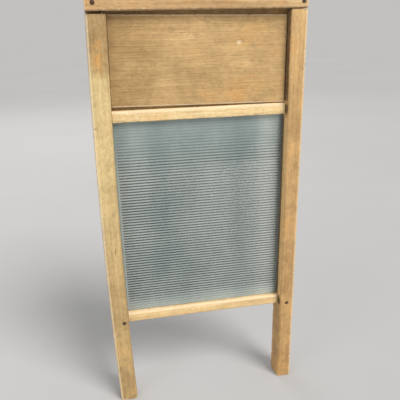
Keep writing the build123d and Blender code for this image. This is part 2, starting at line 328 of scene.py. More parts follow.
def nail_dimple(points, nails):
    """Depth and collar of the dimples that the nail heads lie in, at points of a front face."""
    depth, collar = 0, 0
    for x, z in nails:
        away = np.hypot(points[..., 0] - x, points[..., 2] - z)
        facing = points[..., 1] < FRONT + 1.5 * MM
        depth = depth + facing * 1.1 * MM * smooth((2.3 * MM - away) / (0.5 * MM))
        collar = collar + 0.8 * facing * smooth((3.4 * MM - away) / (1.5 * MM))
    return depth, collar


# ---------------------------------------------------------------- wooden pieces
def stile(name, left):
    """A stile: its section, with the groove in its inner side, carried upwards and along the left one's bow.

    The groove's depth changes at the bottom rail, the foot is eased all round, and above the shoulder
    every point of the section is drawn in to the tongue's rectangle.
    """
    width = LEFT_WIDTH if left else RIGHT_WIDTH
    seed = 100 if left else 300
    shoulder = CAP_UNDERSIDE - (LEFT_SHOULDER_GAP if left else RIGHT_SHOULDER_GAP)
    nail = RAIL_NAILS[0] if left else RAIL_NAILS[1]
    outline, edge = section([
        (0, FRONT, OUTER_RADIUS, 0.6 * MM, 1.1), (width, FRONT, INNER_RADIUS, 1.2 * MM, 0.3),
        (width, GROOVE_FRONT, 0, 1.2 * MM, 0), (width - STILE_GROOVE_DEPTH, GROOVE_FRONT, 0, 1.4 * MM, 0),
        (width - STILE_GROOVE_DEPTH, GROOVE_BACK, 0, 1.2 * MM, 0), (width, GROOVE_BACK, 0, 1.2 * MM, 0),
        (width, BACK, BACK_RADIUS, 0.9 * MM, 0.7), (0, BACK, BACK_RADIUS, 0.9 * MM, 0.9)])
    in_groove = within(outline[:, 1], GROOVE_FRONT, GROOVE_BACK)
    in_groove &= outline[:, 0] > width - STILE_GROOVE_DEPTH - HAIR
    normal = outward(outline)
    normal[in_groove] = 0
    groove_foot = BOTTOM_LOW[2]
    z = places(1.4 * MM, shoulder, 1.0 * MM, [groove_foot, BOTTOM_GROOVE_FLOOR], [nail[1]])
    foot_z, foot_inset = end_ring_insets(FOOT_RADIUS)
    z = np.concatenate([foot_z, z[z > foot_z[-1] + 1e-6]])
    inset = np.zeros_like(z)
    inset[:len(foot_z)] = foot_inset
    depth = np.where(z < groove_foot, 0, np.where(z < BOTTOM_GROOVE_FLOOR, MORTISE_DEPTH, STILE_GROOVE_DEPTH))
    across = np.broadcast_to(outline[:, 0], (len(z), len(outline))).copy()
    reach = (width - across) / STILE_GROOVE_DEPTH * depth[:, None]
    across = np.where(in_groove, width - reach, across)
    across = across - inset[:, None] * normal[:, 0]
    deep = outline[:, 1] - inset[:, None] * normal[:, 1]
    side = 1 if left else -1
    x = LEFT_END + across - bow_at(z)[:, None] if left else RIGHT_END - across
    points = np.stack([x, np.broadcast_to(deep, x.shape), np.broadcast_to(z[:, None], x.shape)], -1)
    normals = np.zeros_like(points)
    normals[..., 0] = side * normal[:, 0]
    normals[..., 1] = normal[:, 1]
    foot = smooth(1 - z / (5 * MM))[:, None]
    top = smooth(1 - (shoulder - z) / (3 * MM))[:, None]
    edge = np.maximum(edge * np.ones_like(x), foot * ~in_groove)
    skin = ~in_groove * np.ones_like(x)
    rubs = edge.copy()
    if left:
        rubs *= 1 + 1.2 * near(points[..., 2], 0.34, 0.03) * (across < 0.5 * width)
    points, chip = worn(points, normals, rubs, skin, (9 * MM, 9 * MM, 60 * MM), seed)
    dimple, collar = nail_dimple(points, [nail])
    points[..., 1] += dimple
    if left:
        notch = saw_ticks(points)
        points[..., 1] += notch
        collar = np.maximum(collar, 0.45 * notch / (0.5 * MM))
    rail_joint = near(z, BOTTOM_LOW[2] + 6 * MM, 9 * MM) + near(z, MIDDLE_LOW[2] + 6 * MM, 9 * MM)
    inner_side = smooth((across - width + 5 * MM) / (5 * MM))
    # Painted shade in this mask: the stile's top just under the cap's shoulder and the inside of the groove.
    # The collar round the nail, the saw ticks, the rail joints and the foot are soiling.
    dirt_and_shade = np.clip(collar + 0.35 * rail_joint[:, None] * inner_side + 0.6 * top + 0.4 * foot
                   + 0.9 * in_groove * (depth[:, None] > 0), 0, 1)
    tone, warm = stile_tones(points, z, left)
    inner_face = smooth((across - width + 1.0 * MM) / (0.8 * MM)) * ~in_groove
    by_glass = smooth((z - BOTTOM_HIGH[2]) / (4 * MM)) * smooth((MIDDLE_LOW[2] - z) / (4 * MM))
    by_panel = smooth((z - MIDDLE_HIGH[2]) / (4 * MM))
    if left:
        dirt_and_shade = np.clip(dirt_and_shade + 0.9 * spot(points, (-0.0982, FRONT, 0.201), (0.0014, 0.02, 0.014)), 0, 1)
    else:
        # Painted light: beside the glass the inner face is made pale, so that it looks lit although it faces
        # away from the key light.
        tone = np.maximum(tone, inner_face * by_glass[:, None])
        # Painted shade: the inner face is darkened beside the panel, behind the glass's front and near the
        # rails.
        behind = smooth((points[..., 1] - GROOVE_FRONT + 5.5 * MM) / (1.5 * MM))
        at_rails = near(z, (MIDDLE_LOW[2] + MIDDLE_HIGH[2]) / 2, 9 * MM)
        at_rails = at_rails + near(z, (BOTTOM_LOW[2] + BOTTOM_HIGH[2]) / 2, 9 * MM)
        dark = by_panel[:, None] + by_glass[:, None] * behind + np.minimum(1.2 * at_rails, 0.8)[:, None]
        dirt_and_shade = np.clip(dirt_and_shade + 0.95 * inner_face * dark, 0, 1)
    tongue_low, tongue_high = RIGHT_INNER + STILE_GROOVE_DEPTH, RIGHT_END - TONGUE_END_PLAY
    if left:
        tongue_low = LEFT_END + TONGUE_END_PLAY
        tongue_high = LEFT_END + width - STILE_GROOVE_DEPTH + LEFT_TONGUE_REACH
    tongue_top = CAP_UNDERSIDE + CAP_GROOVE_DEPTH - TONGUE_END_PLAY
    points = np.concatenate([points, tongue(points[-1], 0, tongue_low, tongue_high, 2, tongue_top)])
    return wooden(name, points, edge + chip, dirt_and_shade, tone, warm, after=2)


def saw_ticks(points):
    """Depth of the short level saw ticks on the left stile's front, near its outer edge.

    A tick lies wherever the height, slanted a little across the stile, is a multiple of TICK_PITCH.
    """
    across = points[..., 0] - LEFT_END + bow_at(points[..., 2])
    slant = points[..., 2] + 0.12 * across
    beat = np.abs((slant / TICK_PITCH) % 1 - 0.5) * TICK_PITCH
    strength = near(points[..., 2], 0.371, 0.024) * near(across, 0.0060, 0.0090)
    strength = strength * (points[..., 1] < FRONT + 2.4 * MM)
    return 0.28 * MM * strength * smooth((0.7 * MM - beat) / (0.5 * MM))


def stile_tones(points, z, left):
    """How bleached and how warm a stile is along its height, broken up by long streaks.

    The bleaching is read between the heights in marks, in metres. Its fall towards the foot is partly painted
    shade on the low legs.
    """
    streak = layered_noise(points, (7 * MM, 7 * MM, 90 * MM), 41 if left else 57)
    if left:
        marks = [0.0, 0.06, 0.11, 0.20, 0.30, 0.384, 0.391, 0.42, 0.46]
        ragged = points[..., 2] + 0.008 * (layered_noise(points, 5 * MM, 43) - 0.5)
        pale = np.interp(ragged, marks, [0.10, 0.22, 0.32, 0.52, 0.82, 0.90, 0.26, 0.05, 0.0])
        warm = 1.1 * spot(points, (-0.0985, FRONT, 0.406), (0.0075, 0.02, 0.030))
        warm = warm + 0.25 * smooth((0.30 - points[..., 2]) / 0.2)
    else:
        marks = [0.0, 0.06, 0.2, 0.36, 0.46]
        pale = np.interp(z, marks, [0.0, 0.14, 0.30, 0.44, 0.85])[:, None]
        warm = 0.25 + 0.25 * smooth((points[..., 2] - 0.3) / 0.15)
    return np.clip(pale + 0.5 * (streak - 0.5), 0, 1), np.clip(warm + 0.3 * (streak - 0.5), 0, 1)


def tongue(ring, across, low, high, along, end):
    """Two rings: the shoulder's, drawn in to the tongue's or tenon's rectangle, and the same one at its end.

    across and along are the axes of the rectangle's low and high and of its end.
    """
    base = ring.copy()
    base[:, across] = np.clip(base[:, across], low, high)
    base[:, 1] = np.clip(base[:, 1], TONGUE_FRONT, TONGUE_BACK)
    tip = base.copy()
    tip[:, along] = end
    return np.stack([base, tip])


def lengthwise(x, outline, normal, inset):
    """Points and normals of a (depth, height) section carried along x, drawn in by inset at each station."""
    y = outline[:, 0] - inset[:, None] * normal[:, 0]
    z = outline[:, 1] - inset[:, None] * normal[:, 1]
    points = np.stack([np.broadcast_to(x[:, None], y.shape), y, z], -1)
    normals = np.zeros_like(points)
    normals[..., 1:] = normal
    return points, normals


def cap(name):
    """The cap rail: a rounded section with a groove underneath, carried from end to end, its ends eased."""
    low, high = CAP_LOW[2], CAP_HIGH[2]
    groove_top = CAP_UNDERSIDE + CAP_GROOVE_DEPTH
    outline, edge = section([
        (FRONT, low, OUTER_RADIUS, 0.6 * MM, 0.6), (FRONT, high, CAP_TOP_RADIUS, 0.8 * MM, 1),
        (BACK, high, CAP_TOP_RADIUS, 0.9 * MM, 1), (BACK, low, 0.5 * MM, 0.9 * MM, 0.6),
        (GROOVE_BACK, low, 0, 1.4 * MM, 0), (GROOVE_BACK, groove_top, 0, 1.4 * MM, 0),
        (GROOVE_FRONT, groove_top, 0, 1.4 * MM, 0), (GROOVE_FRONT, low, 0, 0.9 * MM, 0)])
    in_groove = within(outline[:, 0], GROOVE_FRONT, GROOVE_BACK) & (outline[:, 1] < groove_top + HAIR)
    normal = outward(outline)
    normal[in_groove] = 0
    from_end, end_inset = end_ring_insets(CAP_END_RADIUS)
    x = places(LEFT_END, RIGHT_END, 1.1 * MM, close=[nail[0] for nail in CAP_NAILS])
    x = x[(x > LEFT_END + from_end[-1] + 1e-6) & (x < RIGHT_END - from_end[-1] - 1e-6)]
    x = np.concatenate([LEFT_END + from_end, x, (RIGHT_END - from_end)[::-1]])
    inset = np.zeros_like(x)
    inset[:len(from_end)] = end_inset
    inset[-len(from_end):] = end_inset[::-1]
    points, normals = lengthwise(x, outline, normal, inset)
    ends = smooth(1 - np.minimum(x - LEFT_END, RIGHT_END - x) / (4 * MM))[:, None]
    edge = np.maximum(edge * np.ones(points.shape[:2]), ends * ~in_groove)
    skin = ~in_groove * np.ones(points.shape[:2])
    points, chip = worn(points, normals, edge, skin, (60 * MM, 9 * MM, 9 * MM), 500)
    dimple, collar = nail_dimple(points, CAP_NAILS)
    points[..., 1] += dimple
    # Painted shade: darker towards and on the underside, and inside the groove; the collars round the nails
    # are soiling.
    below = smooth((low + 5 * MM - points[..., 2]) / (5 * MM))
    dirt_and_shade = np.clip(collar + 0.55 * below + 0.9 * in_groove, 0, 1)
    streak = layered_noise(points, (70 * MM, 7 * MM, 7 * MM), 511)
    tone = np.clip(0.28 + 0.6 * (streak - 0.5) + 0.25 * smooth((points[..., 0] - 0.02) / 0.08)
                   + 0.7 * spot(points, (0.098, FRONT, low + 9 * MM), (0.016, 0.02, 0.012))
                   + 0.5 * spot(points, (0.050, FRONT, low + 11 * MM), (0.012, 0.02, 0.008)), 0, 1)
    warm = np.clip(0.30 + 0.5 * (layered_noise(points, (30 * MM, 9 * MM, 9 * MM), 521) - 0.5), 0, 1)
    return wooden(name, points, edge + chip, dirt_and_shade, tone, warm)


def rail(name, low, high, tenon, groove_below, seed):
    """A rail: a section grooved on top, and below if asked, carried between the stiles.

    Past each shoulder every point of the section is drawn in to the tenon's rectangle.
    """
    below = low + RAIL_GROOVE_DEPTH if groove_below else low
    groove = []
    if groove_below:
        groove = [(GROOVE_BACK, low, 0, 1.4 * MM, 0), (GROOVE_BACK, below, 0, 1.4 * MM, 0),
                  (GROOVE_FRONT, below, 0, 1.4 * MM, 0), (GROOVE_FRONT, low, 0, 0.8 * MM, 0)]
    bed = high - RAIL_GROOVE_DEPTH
    outline, edge = section([
        (RAIL_FRONT, low, RAIL_LOW_RADIUS, 0.5 * MM, 0.5), (RAIL_FRONT, high, RAIL_TOP_RADIUS, 0.6 * MM, 1),
        (GROOVE_FRONT, high, 0, 1.4 * MM, 0), (GROOVE_FRONT, bed, 0, 1.4 * MM, 0),
        (GROOVE_BACK, bed, 0, 1.4 * MM, 0), (GROOVE_BACK, high, 0, 1.0 * MM, 0),
        (BACK, high, 0.5 * MM, 1.0 * MM, 0.6), (BACK, low, 0.5 * MM, 1.0 * MM, 0.6)] + groove)
    in_groove = within(outline[:, 0], GROOVE_FRONT, GROOVE_BACK)
    in_groove &= (outline[:, 1] > bed - HAIR) | (groove_below & (outline[:, 1] < below + HAIR))
    normal = outward(outline)
    normal[in_groove] = 0
    start = float(max(left_inner(low), left_inner(high))) + SHOULDER_PLAY
    stop = RIGHT_INNER - SHOULDER_PLAY
    x = places(start, stop, 0.9 * MM)
    points, normals = lengthwise(x, outline, normal, np.zeros_like(x))
    edge = edge * np.ones(points.shape[:2])
    skin = ~in_groove * np.ones(points.shape[:2])
    rubs = edge.copy()
    lower = smooth((low + 4 * MM - points[..., 2]) / (2 * MM)) * (points[..., 1] < 0)
    if groove_below:
        rubs += lower * 1.3 * layered_noise(points, (9 * MM, 50 * MM, 50 * MM), 641)
    points, chip = worn(points, normals, rubs, skin, (50 * MM, 8 * MM, 8 * MM), seed)
    ends = smooth(1 - np.minimum(x - start, stop - x) / (7 * MM))[:, None]
    ragged = lower * smooth((layered_noise(points, (7 * MM, 50 * MM, 3 * MM), 655) - 0.42) / 0.2)
    # Slightly darker towards the ends, painted shade inside the grooves, and a darker band along the lower
    # edge, ragged on the middle rail.
    dirt_and_shade = np.clip(0.12 * ends + 0.9 * in_groove + (0.5 * ragged if groove_below else 0.3 * lower), 0, 1)
    streak = layered_noise(points, (60 * MM, 6 * MM, 6 * MM), seed + 31)
    tone = np.clip((0.85 if groove_below else 0.50) + 0.4 * (streak - 0.5), 0, 1)
    warm = np.clip(0.25 + 0.5 * (layered_noise(points, (25 * MM, 8 * MM, 8 * MM), seed + 41) - 0.5), 0, 1)
    left = tongue(points[0], 2, below, bed, 0, start - SHOULDER_PLAY - tenon)
    right = tongue(points[-1], 2, below, bed, 0, stop + SHOULDER_PLAY + tenon)
    points = np.concatenate([left[::-1], points, right])
    return wooden(name, points, edge + chip, dirt_and_shade, tone, warm, before=2, after=2)


def panel(name):
    """The splash panel: a thick field with a thinner tongue all round, tilted in its own plane.

    The upright section is carried along x. Outside the field its front points are drawn back to the
    tongue, and near the field's sides they follow a quarter circle. Then the points are turned by the
    tilt, and those near each side are drawn over to the stile beside them.
    """
    half, low, high = PANEL_WIDTH / 2, -PANEL_HEIGHT / 2, PANEL_HEIGHT / 2 + PANEL_RISE
    top_hold = PANEL_TOP_HOLD - PANEL_RISE
    back = GLASS_HIGH[1]
    tongue_front = GLASS_LOW[1]
    front = back - PANEL_THICKNESS
    # The field's front top and bottom edges are fully rubbed: partly wear and partly a painted highlight
    # where they catch the light.
    outline, edge = section([
        (front, low, PANEL_RADIUS, 0.8 * MM, 1), (front, high, PANEL_RADIUS, 0.8 * MM, 1),
        (tongue_front, high, 0, 1.2 * MM, 0), (tongue_front, high + top_hold, 0.4 * MM, 1.2 * MM, 0),
        (back, high + top_hold, 0.4 * MM, 1.0 * MM, 0),
        (back, low - PANEL_LOW_HOLD, 0.4 * MM, 1.2 * MM, 0),
        (tongue_front, low - PANEL_LOW_HOLD, 0.4 * MM, 1.2 * MM, 0), (tongue_front, low, 0, 0.8 * MM, 0)])
    normal = outward(outline)
    from_side, side_inset = end_ring_insets(PANEL_RADIUS)
    x = places(-half, half, 0.9 * MM)
    x = x[np.abs(x) < half - from_side[-1] - 1e-6]
    x = np.concatenate([[-half - PANEL_SIDE_HOLD, -half - 0.01 * MM], from_side - half, x,
                        (half - from_side)[::-1], [half + 0.01 * MM, half + PANEL_SIDE_HOLD]])
    drawn = np.zeros_like(x)
    drawn[2:2 + len(from_side)] = side_inset
    drawn[-2 - len(from_side):-2] = side_inset[::-1]
    points, normals = lengthwise(x, outline, normal, np.zeros_like(x))
    points[..., 1] = np.maximum(points[..., 1], front + drawn[:, None])
    outside = np.abs(x) > half
    points[outside, :, 1] = np.maximum(points[outside, :, 1], tongue_front)
    ends = smooth(1 - (half - np.abs(x)) / (2.5 * MM))[:, None] * (points[..., 1] < tongue_front)
    edge = np.maximum(edge * np.ones(points.shape[:2]), ends)
    field = (points[..., 1] < tongue_front - 1e-6) * 1.0
    grain = (45 * MM, 9 * MM, 9 * MM)
    points, chip = worn(points, normals, edge * field, np.ones_like(edge), grain, 700, chips=0.5)
    ding = spot(points, (0.040, front, 0.0185), (4.6 * MM, 5 * MM, 3.4 * MM))
    scratch = near(points[..., 0] + 0.05 * points[..., 2], -0.019, 0.9 * MM)
    scratch = scratch * near(points[..., 2], -0.004, 0.022)
    points[..., 1] += ding * 0.7 * MM
    to_end = np.minimum(high - points[..., 2], points[..., 2] - low)
    to_side = np.minimum(half - np.abs(points[..., 0]), to_end)
    # Darker near the field's edges, partly soiling and partly painted shade in the recess by the frame;
    # painted shade over the recessed tongue.
    dirt_and_shade = np.clip(0.22 * smooth(1 - to_side / (4 * MM)) + 0.3 * (1 - field), 0, 1)
    cloud = layered_noise(points, (60 * MM, 20 * MM, 22 * MM), 731)
    from_left = smooth((points[..., 0] + half) / (60 * MM))
    tone = np.clip(0.06 + 0.44 * from_left + 0.8 * (cloud - 0.5) + 0.9 * ding, 0, 1)
    warm = np.clip(0.18 + 0.9 * (layered_noise(points, (38 * MM, 20 * MM, 17 * MM), 741) - 0.5)
                   + 0.25 * points[..., 0] / half, 0, 1)
    turned = points.copy()
    turned[..., 0] = PANEL_MIDDLE[0] + points[..., 0] * cos(PANEL_TILT) + points[..., 2] * sin(PANEL_TILT)
    turned[..., 2] = PANEL_MIDDLE[1] - points[..., 0] * sin(PANEL_TILT) + points[..., 2] * cos(PANEL_TILT)
    drawn_over = smooth(1 - (points[..., 0] + half) / (25 * MM)) * (points[..., 0] > -half - 0.1 * MM)
    side = PANEL_MIDDLE[0] - half * cos(PANEL_TILT) + points[..., 2] * sin(PANEL_TILT)
    turned[..., 0] += drawn_over * (left_inner(turned[..., 2]) + 0.6 * PANEL_EDGE_GAP - side)
    drawn_over = smooth(1 - (half - points[..., 0]) / (25 * MM)) * (points[..., 0] < half + 0.1 * MM)
    side = PANEL_MIDDLE[0] + half * cos(PANEL_TILT) + points[..., 2] * sin(PANEL_TILT)
    turned[..., 0] += drawn_over * (RIGHT_INNER - PANEL_EDGE_GAP - side)
    return wooden(name, turned, edge * field + chip + 1.6 * ding + 0.5 * scratch, dirt_and_shade, tone, warm)


# ---------------------------------------------------------------- glass and nails
def plate(name):
    """The rubbing plate: a rounded rectangle of a section whose front and back carry an arch for each rib.

    Going up the front and down the back, the face stands out by 1 - (2s - 1)^2 within each rib, s being
    the way through it. The ribs die away into the plain margin at the two ends.
    """
    low, high = GLASS_LOW[2], GLASS_HIGH[2]
    middle, half = (GLASS_LOW[1] + GLASS_HIGH[1]) / 2, (GLASS_HIGH[1] - GLASS_LOW[1]) / 2
    first = (low + high - RIB_COUNT * RIB_PITCH) / 2
    last = first + RIB_COUNT * RIB_PITCH
    chamfer, rim = 0.25 * MM, 0.8 * MM
    z = np.concatenate([np.linspace(low + rim, first - 0.4 * MM, 5),
                        np.linspace(first, last, RIB_COUNT * RIB_POINTS + 1),
                        np.linspace(last + 0.4 * MM, high - rim, 5)])
    s = ((z - first) / RIB_PITCH) % 1
    arch = (2 * s - 1) ** 2
    inside = (z >= first) & (z <= last)
    drop = np.where(inside, arch, 0) * RIB_DEPTH
    fade = smooth((z - first + 4 * MM) / (22 * MM)) * smooth((last - z) / (62 * MM))
    drop = drop * (0.25 + 0.75 * fade)
    end_y = [-half + chamfer, -half + rim, half - rim, half - chamfer]
    x_low, x_high = GLASS_LOW[0], GLASS_HIGH[0]
    x = np.concatenate([[0, chamfer, 1 * MM, 3.6 * MM], np.linspace(5.0, 6.4, 6) * MM])
    x = np.concatenate([x_low + x, np.linspace(x_low + 10 * MM, x_high - 10 * MM, 28), x_high - x[::-1]])
    from_end = np.minimum(x - x_low, x_high - x)
    ribs = smooth((from_end - 5.0 * MM) / (1.4 * MM))[:, None]
    flat = np.concatenate([np.full(len(z), -half), end_y, np.full(len(z), half), end_y[::-1]])
    deep = np.concatenate([drop, [0] * 4, -drop[::-1], [0] * 4])
    y = middle + flat + deep * ribs
    heights = np.concatenate([z, [high - chamfer, high, high, high - chamfer], z[::-1],
                              [low + chamfer, low, low, low + chamfer]])
    ease = np.where(from_end < 0.2 * MM, 0.6, np.where(from_end < 0.5 * MM, 0.15, 0.0))[:, None] * MM
    y = np.clip(y, middle - half + ease, middle + half - ease)
    heights = np.clip(heights * np.ones_like(y), low + ease, high - ease)
    points = np.stack([x[:, None] * np.ones_like(y), y, heights], -1)
    # Painted reflections: lighter and darker vertical bands across the plate.
    painted_reflection_and_shade = 0.5 + 0.35 * (layered_noise(points, (16 * MM, 200 * MM, 260 * MM), 811) - 0.5)
    # Painted reflections: one bright band and one dim band.
    painted_reflection_and_shade = painted_reflection_and_shade + 0.30 * near(points[..., 0], 0.072, 0.020) - 0.12 * near(points[..., 0], 0.043, 0.014)
    # Darker towards the top, making up for the painted rib shade fading there.
    painted_reflection_and_shade = painted_reflection_and_shade - 0.26 * smooth((heights - high + 70 * MM) / (55 * MM))
    # Painted shade between the ribs, weaker towards the plate's top and bottom.
    low_side = smooth((np.abs(2 * s - 1) - 0.30) / 0.55) * inside * (0.12 + 0.88 * fade)
    painted_valley_shade = np.concatenate([low_side, [0] * 4, low_side[::-1], [0] * 4]) * ribs
    shade = 0.8 * smooth((x - x_high + 7.5 * MM) / (1.8 * MM))
    shade = (shade + 0.5 * smooth((x_low + 5.5 * MM - x) / (1.5 * MM)))[:, None] * np.ones_like(y)
    return carried(name, points, {"painted_reflection_and_shade": painted_reflection_and_shade, "painted_valley_shade": painted_valley_shade, "shade": shade}, sharp=60)


def nails(name, centres, seed):
    """Wire nails driven towards +Y: a domed, battered head, a shank and a point.

    The profile, as radius and way along in mm, is turned about each centre, and its first and last
    points are poles.
    """
    profile = np.array([(0.0, 0.10), (0.55, 0.11), (1.05, 0.16), (1.45, 0.26), (1.68, 0.42), (1.75, 0.62),
                        (1.66, 0.85), (1.35, 0.98), (0.98, 1.15), (0.90, 1.6), (0.90, 16.8), (0.86, 17.1),
                        (0.0, 19.0)]) * MM
    turns = 28
    angle = np.arange(turns) * 2 * pi / turns
    rings, faces = [], []
    for index, (x, z) in enumerate(centres):
        lean = np.random.default_rng(seed + index).uniform(-0.06, 0.06, 2)
        radius, along = profile[1:-1, 0][:, None], profile[1:-1, 1][:, None]
        dented = 1 - 0.06 * np.clip(np.cos(3 * angle + seed + index), 0, 1) * (along < 1.1 * MM)
        px, pz = radius * dented * np.cos(angle), radius * dented * np.sin(angle)
        tilt = (px * lean[0] + pz * lean[1]) * (along < 1.1 * MM)
        body = np.stack([x + px, FRONT + NAIL_SINK + along + tilt, z + pz], -1).reshape(-1, 3)
        poles = [[x, FRONT + NAIL_SINK + profile[0, 1], z], [x, FRONT + NAIL_SINK + profile[-1, 1], z]]
        offset = sum(len(part) for part in rings)
        rings += [body, np.array(poles)]
        faces += (ring_quads(len(profile) - 2, turns) + offset).tolist()
        tip = (len(profile) - 3) * turns
        loop, beyond = np.arange(turns), (np.arange(turns) + 1) % turns
        faces += (np.stack([np.full(turns, len(body)), beyond, loop], -1) + offset).tolist()
        faces += (np.stack([np.full(turns, len(body) + 1), tip + loop, tip + beyond], -1) + offset).tolist()
    return finish_mesh(name, np.concatenate(rings), faces, {}, sharp=50)


# ---------------------------------------------------------------- material building
def feed(tree, made, feeds):
    """A node's inputs set to values, or fed by other nodes' outputs."""
    for name, value in feeds.items():
        if isinstance(value, bpy.types.NodeSocket):
            tree.links.new(value, made.inputs[name])
        else:
            made.inputs[name].default_value = value


def add(tree, kind, feeds=None, **settings):
    """A new shader node with its settings, and its inputs set to values or fed by other nodes' outputs."""
    made = tree.nodes.new("ShaderNode" + kind)
    for key, value in settings.items():
        setattr(made, key, value)
    feed(tree, made, feeds or {})
    return made


def calc(tree, operation, first, second=0.0, third=0.0, clamp=False):
    """The result of one arithmetic node."""
    feeds = {0: first, 1: second, 2: third}
    return add(tree, "Math", feeds, operation=operation, use_clamp=clamp).outputs[0]


def times(tree, first, second):
    """The product of two values."""
    return calc(tree, "MULTIPLY", first, second)


def plus(tree, first, second, clamp=False):
    """The sum of two values."""
    return calc(tree, "ADD", first, second, clamp=clamp)


def span(tree, value, low, high, to_low=0.0, to_high=1.0):
    """value from low..high to to_low..to_high, eased and clamped."""
    feeds = {"Value": value, "From Min": low, "From Max": high, "To Min": to_low, "To Max": to_high}
    return add(tree, "MapRange", feeds, interpolation_type="SMOOTHSTEP").outputs[0]


def blend(tree, factor, first, second, kind="MIX"):
    """first going to second by factor, as colours."""
    feeds = {0: factor, 6: first, 7: second}
    return add(tree, "Mix", feeds, data_type="RGBA", blend_type=kind).outputs[2]


def texture(tree, vector, scale, detail=3.0, rough=0.5, warp=0.0):
    """Noise from 0 to 1 about a half; scale is in cells to the metre."""
    feeds = {"Vector": vector, "Scale": scale, "Detail": detail, "Roughness": rough, "Distortion": warp}
    return add(tree, "TexNoise", feeds).outputs["Fac"]


def stretched(tree, vector, size, shift=(0, 0, 0)):
    """vector scaled by size along each axis; a small size draws a texture out along it."""
    return add(tree, "Mapping", {"Vector": vector, "Location": shift, "Scale": size}).outputs[0]


def group(name, inputs, outputs, build):
    """A shader node group: a vector input and numbers as {name: value}; build returns the outputs' feeds."""
    tree = bpy.data.node_groups.new(name, "ShaderNodeTree")
    tree.interface.new_socket("Vector", in_out="INPUT", socket_type="NodeSocketVector")
    for label, value in inputs.items():
        socket = tree.interface.new_socket(label, in_out="INPUT", socket_type="NodeSocketFloat")
        socket.default_value = value
    for label in outputs:
        tree.interface.new_socket(label, in_out="OUTPUT", socket_type="NodeSocketFloat")
    start, end = tree.nodes.new("NodeGroupInput"), tree.nodes.new("NodeGroupOutput")
    for label, socket in build(tree, start.outputs).items():
        tree.links.new(socket, end.inputs[label])
    return tree


def placed(tree, made_group, feeds):
    """A group's node in a material, with its inputs set or fed."""
    made = tree.nodes.new("ShaderNodeGroup")
    made.node_tree = made_group
    feed(tree, made, feeds)
    return made.outputs


def build_grain(tree, given):
    """Growth rings about a far pith that runs along X, their wander, fine fibres and dark flecks.

    Rings: the distance from the pith line plus a slow wander, over the ring pitch, gives the phase of a
    sine. Fibres and flecks are noise drawn out along the grain.
    """
    vector = given["Vector"]
    slow = texture(tree, stretched(tree, vector, (0.22, 1, 1)), 26.0, 2.0)
    mid = texture(tree, stretched(tree, vector, (0.10, 1, 1)), 120.0, 3.0, 0.55)
    both = plus(tree, slow, times(tree, mid, 0.35))
    wander = times(tree, both, given["Wander"])
    apart = add(tree, "SeparateXYZ", {0: vector}).outputs
    y = calc(tree, "SUBTRACT", apart[1], given["Pith Depth"])
    z = calc(tree, "SUBTRACT", apart[2], given["Pith Height"])
    away = calc(tree, "SQRT", plus(tree, times(tree, y, y), times(tree, z, z)))
    count = calc(tree, "DIVIDE", plus(tree, away, wander), given["Ring Pitch"])
    phase = times(tree, count, 2 * pi)
    wave = calc(tree, "MULTIPLY_ADD", calc(tree, "SINE", phase), 0.5, 0.5)
    rings = calc(tree, "POWER", wave, 1.6)
    fibre = texture(tree, stretched(tree, vector, (0.028, 1, 1)), 950.0, 4.0, 0.62)
    streak = texture(tree, stretched(tree, vector, (0.045, 1, 1)), 330.0, 3.0, 0.6)
    fleck = texture(tree, stretched(tree, vector, (0.075, 1, 1), (3.1, 0, 0)), 900.0, 1.5)
    flecks = span(tree, fleck, 0.64, 0.74)
    height = plus(tree, times(tree, fibre, 0.55), times(tree, rings, 0.25))
    height = calc(tree, "SUBTRACT", height, times(tree, flecks, 0.35))
    return {"Rings": rings, "Fibre": fibre, "Streak": streak, "Flecks": flecks, "Height": height}


def build_patches(tree, given):
    """Cloudy patches with broken borders: two sizes of noise, cut at a threshold."""
    large = texture(tree, given["Vector"], given["Scale"], 4.0, 0.6, 0.4)
    small = texture(tree, given["Vector"], times(tree, given["Scale"], 6.0), 3.0, 0.6)
    total = plus(tree, large, times(tree, calc(tree, "SUBTRACT", small, 0.5), 0.35))
    low = calc(tree, "SUBTRACT", given["Cut"], given["Softness"])
    high = plus(tree, given["Cut"], given["Softness"])
    return {"Mask": span(tree, total, low, high), "Cloud": total}


def build_wear_and_highlight(tree, given):
    """Where an edge is rubbed pale, which on the splash panel's field edges is partly a painted highlight:
    its distance mask, eaten into by noise.
    """
    broken = texture(tree, given["Vector"], 240.0, 4.0, 0.65)
    raised = plus(tree, given["Edge"], times(tree, calc(tree, "SUBTRACT", broken, 0.5), 1.1))
    return {"Mask": times(tree, span(tree, raised, 0.45, 0.95), given["Amount"])}


def build_grime_and_shade(tree, given):
    """Where soiling has settled and where shade is painted, as the joints' and recesses' mask says, broken by
    noise; and a thin film of soiling elsewhere.
    """
    broken = texture(tree, given["Vector"], 150.0, 5.0, 0.7)
    raised = plus(tree, given["Dirt And Shade"], times(tree, calc(tree, "SUBTRACT", broken, 0.5), 0.9))
    settled = times(tree, span(tree, raised, 0.25, 1.05), given["Amount"])
    film = span(tree, texture(tree, given["Vector"], 38.0, 4.0, 0.6), 0.5, 0.8)
    return {"Mask": calc(tree, "MAXIMUM", settled, times(tree, film, given["Film"]))}


GRAIN = group("wood_grain", {"Ring Pitch": 0.004, "Wander": 0.01, "Pith Depth": 0.05, "Pith Height": 0.02},
              ["Rings", "Fibre", "Streak", "Flecks", "Height"], build_grain)
PATCHES = group("cloudy_patches", {"Scale": 40.0, "Cut": 0.6, "Softness": 0.05}, ["Mask", "Cloud"],
                build_patches)
WEAR_AND_HIGHLIGHT = group("edge_wear_and_highlight", {"Edge": 0.0, "Amount": 1.0}, ["Mask"], build_wear_and_highlight)
GRIME_AND_SHADE = group("settled_dirt_and_painted_shade", {"Dirt And Shade": 0.0, "Amount": 1.0, "Film": 0.1}, ["Mask"], build_grime_and_shade)


